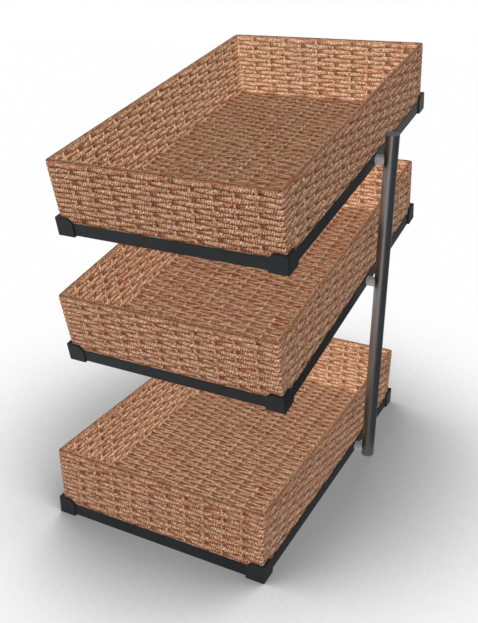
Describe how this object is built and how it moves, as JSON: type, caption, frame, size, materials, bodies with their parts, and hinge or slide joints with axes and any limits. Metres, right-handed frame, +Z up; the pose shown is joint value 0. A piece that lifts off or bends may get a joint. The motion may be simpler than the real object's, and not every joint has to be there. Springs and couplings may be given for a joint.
{
  "type": "bread basket stand",
  "caption": "Free-standing counter display with upright posts carrying tiered tray frames, the upper ones tilting, each holding a lift-out woven bread basket.",
  "frame": {"origin": "on the table, under the middle of the stand's overall box", "axes": "+X to the customer's right along the pivot axes, +Y to the back, +Z up"},
  "size_m": [0.389, 0.577, 0.6215],
  "materials": {
    "tray_paint": "satin anthracite powder coat",
    "post_metal": "smooth dark grey steel",
    "post_end_plastic": "satin dark grey",
    "spacer_steel": "turned and polished",
    "fastener_steel": "zinc plated",
    "wicker": "plain woven rattan cord"
  },
  "bodies": {
    "stand": {"left_post": "post_metal", "left_post_cap": "post_end_plastic", "left_foot_plug": "post_end_plastic", "right_post": "post_metal", "right_post_cap": "post_end_plastic", "right_foot_plug": "post_end_plastic", "lower_left_pivot_screw": "fastener_steel", "lower_left_spacer": "spacer_steel", "lower_left_thread_insert": "fastener_steel", "lower_right_pivot_screw": "fastener_steel", "lower_right_spacer": "spacer_steel", "lower_right_thread_insert": "fastener_steel", "middle_left_pivot_screw": "fastener_steel", "middle_left_spacer": "spacer_steel", "middle_left_thread_insert": "fastener_steel", "middle_right_pivot_screw": "fastener_steel", "middle_right_spacer": "spacer_steel", "middle_right_thread_insert": "fastener_steel", "upper_left_pivot_screw": "fastener_steel", "upper_left_spacer": "spacer_steel", "upper_left_thread_insert": "fastener_steel", "upper_right_pivot_screw": "fastener_steel", "upper_right_spacer": "spacer_steel", "upper_right_thread_insert": "fastener_steel", "lower_front_rail": "tray_paint", "lower_rear_rail": "tray_paint", "lower_left_rail": "tray_paint", "lower_right_rail": "tray_paint", "lower_front_left_corner": "tray_paint", "lower_front_right_corner": "tray_paint", "lower_rear_left_corner": "tray_paint", "lower_rear_right_corner": "tray_paint", "lower_corner_screws": "fastener_steel"},
    "middle_tray": {"middle_front_rail": "tray_paint", "middle_rear_rail": "tray_paint", "middle_left_rail": "tray_paint", "middle_right_rail": "tray_paint", "middle_front_left_corner": "tray_paint", "middle_front_right_corner": "tray_paint", "middle_rear_left_corner": "tray_paint", "middle_rear_right_corner": "tray_paint", "middle_corner_screws": "fastener_steel"},
    "upper_tray": {"upper_front_rail": "tray_paint", "upper_rear_rail": "tray_paint", "upper_left_rail": "tray_paint", "upper_right_rail": "tray_paint", "upper_front_left_corner": "tray_paint", "upper_front_right_corner": "tray_paint", "upper_rear_left_corner": "tray_paint", "upper_rear_right_corner": "tray_paint", "upper_corner_screws": "fastener_steel"},
    "lower_basket": {"lower_basket": "wicker"},
    "middle_basket": {"middle_basket": "wicker"},
    "upper_basket": {"upper_basket": "wicker"}
  },
  "joints": [
    {"name": "middle_tray_tilt", "type": "hinge", "parent": "stand", "child": "middle_tray", "pos_m": [0, 0.06246, 0.3], "axis": [1, 0, 0], "range_deg": [-12, 8]},
    {"name": "upper_tray_tilt", "type": "hinge", "parent": "stand", "child": "upper_tray", "pos_m": [0, 0.06246, 0.482], "axis": [1, 0, 0], "range_deg": [-12, 8]},
    {"name": "lower_basket_lift", "type": "slide", "parent": "stand", "child": "lower_basket", "axis": [0, 0, 1], "range_m": [0, 0.06]},
    {"name": "middle_basket_lift", "type": "slide", "parent": "middle_tray", "child": "middle_basket", "axis": [0, -0.2079, 0.9781], "range_m": [0, 0.06]},
    {"name": "upper_basket_lift", "type": "slide", "parent": "upper_tray", "child": "upper_basket", "axis": [0, -0.2079, 0.9781], "range_m": [0, 0.12]}
  ]
}
